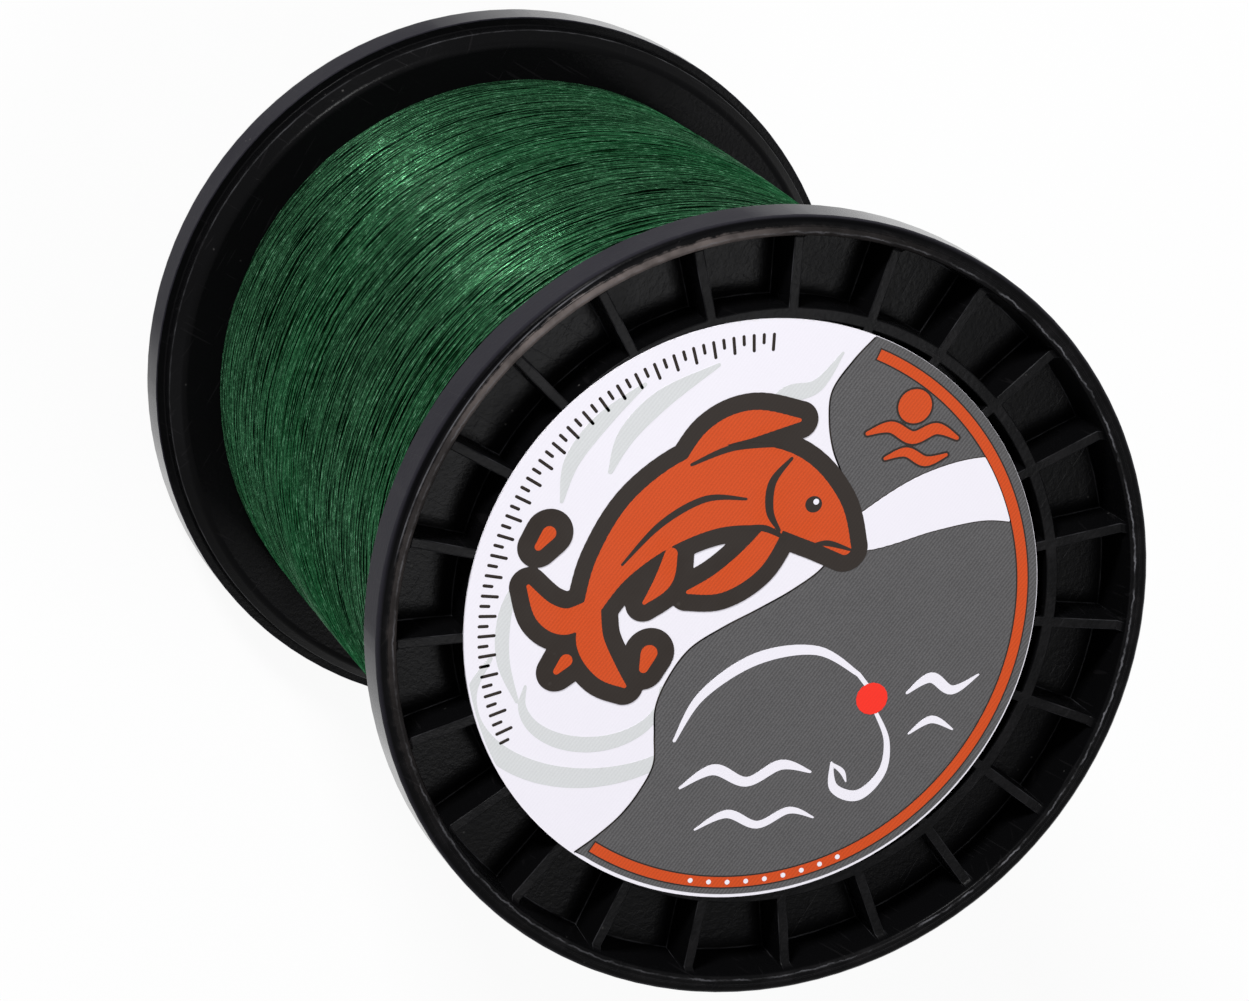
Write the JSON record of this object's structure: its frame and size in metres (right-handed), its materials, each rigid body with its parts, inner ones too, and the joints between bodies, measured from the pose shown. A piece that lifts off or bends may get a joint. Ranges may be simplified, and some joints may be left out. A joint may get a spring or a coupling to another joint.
{
  "type": "fishing line spool",
  "caption": "Two ribbed black plastic flanges on a barrel wound full of green braided line, with a round printed label on the front flange.",
  "frame": {"origin": "on the spool's axis, in the plane of the rear rim's face that it stands on", "axes": "+Z along the spool's axis from the rear flange to the labelled front flange; +X to the label's right and +Y to its top, seen from the front"},
  "size_m": [0.12, 0.12, 0.144],
  "materials": {
    "spool_plastic": "satin moulded black",
    "tape": "matt",
    "braided_line": "waxy braid",
    "printed_label": "satin print"
  },
  "bodies": {
    "root": {"rear_flange": "spool_plastic", "front_flange": "spool_plastic", "barrel": "spool_plastic", "start_tape": "tape", "line_core": "braided_line", "line_turns": "braided_line", "front_label": "printed_label"}
  },
  "joints": []
}
